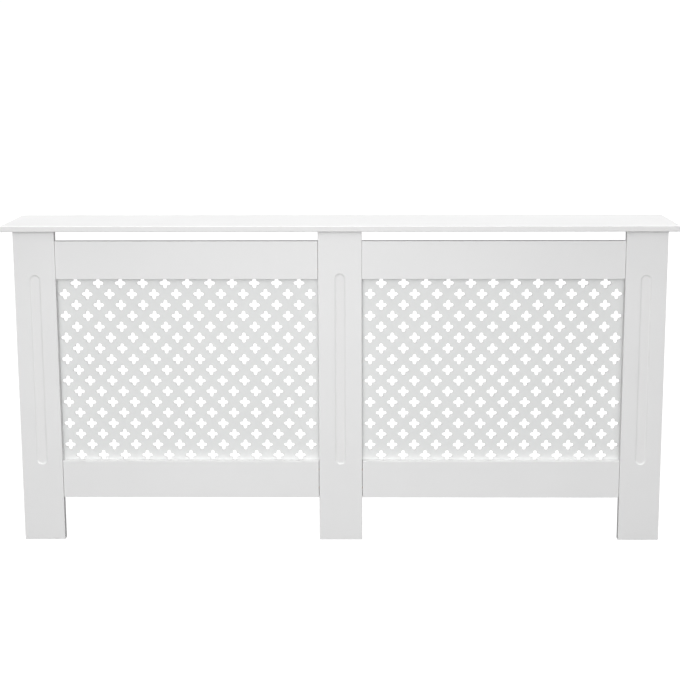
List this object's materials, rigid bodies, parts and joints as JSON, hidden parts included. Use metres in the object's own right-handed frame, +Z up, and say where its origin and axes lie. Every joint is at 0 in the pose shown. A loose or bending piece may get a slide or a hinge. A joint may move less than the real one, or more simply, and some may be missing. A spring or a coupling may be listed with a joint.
{
  "type": "radiator cover cabinet",
  "caption": "Painted board cabinet that stands over a wall radiator: pierced cross-pattern screens between fluted legs and flat rails, solid sides, shelf top, open back and foot.",
  "frame": {"origin": "middle of the footprint on the floor: x midway along the shelf, y midway between the shelf's front edge and the wall plane, z on the floor", "axes": "+X along the cabinet to the viewer's right, +Y back towards the wall, +Z up; the pierced front faces -Y"},
  "size_m": [1.72, 0.19, 0.84],
  "materials": {
    "painted_board": "satin white paint on smooth fibreboard, edges eased by sanding",
    "screen_board": "satin white paint on thin pierced fibreboard",
    "beech_dowel": "bare turned beech",
    "zinc_cam": "matt die-cast zinc",
    "plated_steel": "bright zinc-plated steel"
  },
  "bodies": {
    "root": {"top_shelf": "painted_board", "side_panel_left": "painted_board", "side_panel_right": "painted_board", "end_leg_left": "painted_board", "end_leg_right": "painted_board", "centre_leg": "painted_board", "top_rail_left": "painted_board", "top_rail_right": "painted_board", "bottom_rail_left": "painted_board", "bottom_rail_right": "painted_board", "screen_left": "screen_board", "screen_right": "screen_board", "dowel_left_outer_bottom_rail_a": "beech_dowel", "dowel_left_outer_bottom_rail_b": "beech_dowel", "dowel_left_outer_top_rail_a": "beech_dowel", "dowel_left_outer_top_rail_b": "beech_dowel", "dowel_left_inner_bottom_rail_a": "beech_dowel", "dowel_left_inner_bottom_rail_b": "beech_dowel", "dowel_left_inner_top_rail_a": "beech_dowel", "dowel_left_inner_top_rail_b": "beech_dowel", "dowel_right_outer_bottom_rail_a": "beech_dowel", "dowel_right_outer_bottom_rail_b": "beech_dowel", "dowel_right_outer_top_rail_a": "beech_dowel", "dowel_right_outer_top_rail_b": "beech_dowel", "dowel_right_inner_bottom_rail_a": "beech_dowel", "dowel_right_inner_bottom_rail_b": "beech_dowel", "dowel_right_inner_top_rail_a": "beech_dowel", "dowel_right_inner_top_rail_b": "beech_dowel", "cam_lock_shelf_left_front": "zinc_cam", "cam_lock_shelf_left_back": "zinc_cam", "cam_lock_leg_left_lower": "zinc_cam", "cam_lock_leg_left_upper": "zinc_cam", "cam_lock_shelf_right_front": "zinc_cam", "cam_lock_shelf_right_back": "zinc_cam", "cam_lock_leg_right_lower": "zinc_cam", "cam_lock_leg_right_upper": "zinc_cam", "cam_bolt_shelf_left_front": "plated_steel", "cam_bolt_shelf_left_back": "plated_steel", "cam_bolt_leg_left_lower": "plated_steel", "cam_bolt_leg_left_upper": "plated_steel", "cam_bolt_shelf_right_front": "plated_steel", "cam_bolt_shelf_right_back": "plated_steel", "cam_bolt_leg_right_lower": "plated_steel", "cam_bolt_leg_right_upper": "plated_steel", "screen_screw_left_bottom_inner": "plated_steel", "screen_screw_left_bottom_outer": "plated_steel", "screen_screw_left_top_inner": "plated_steel", "screen_screw_left_top_outer": "plated_steel", "screen_screw_right_bottom_inner": "plated_steel", "screen_screw_right_bottom_outer": "plated_steel", "screen_screw_right_top_inner": "plated_steel", "screen_screw_right_top_outer": "plated_steel", "centre_bracket_leg_screw": "plated_steel", "centre_bracket_shelf_screw": "plated_steel", "wall_bracket_screw_left": "plated_steel", "wall_bracket_screw_right": "plated_steel", "centre_bracket": "plated_steel", "wall_bracket_left": "plated_steel", "wall_bracket_right": "plated_steel"}
  },
  "joints": []
}
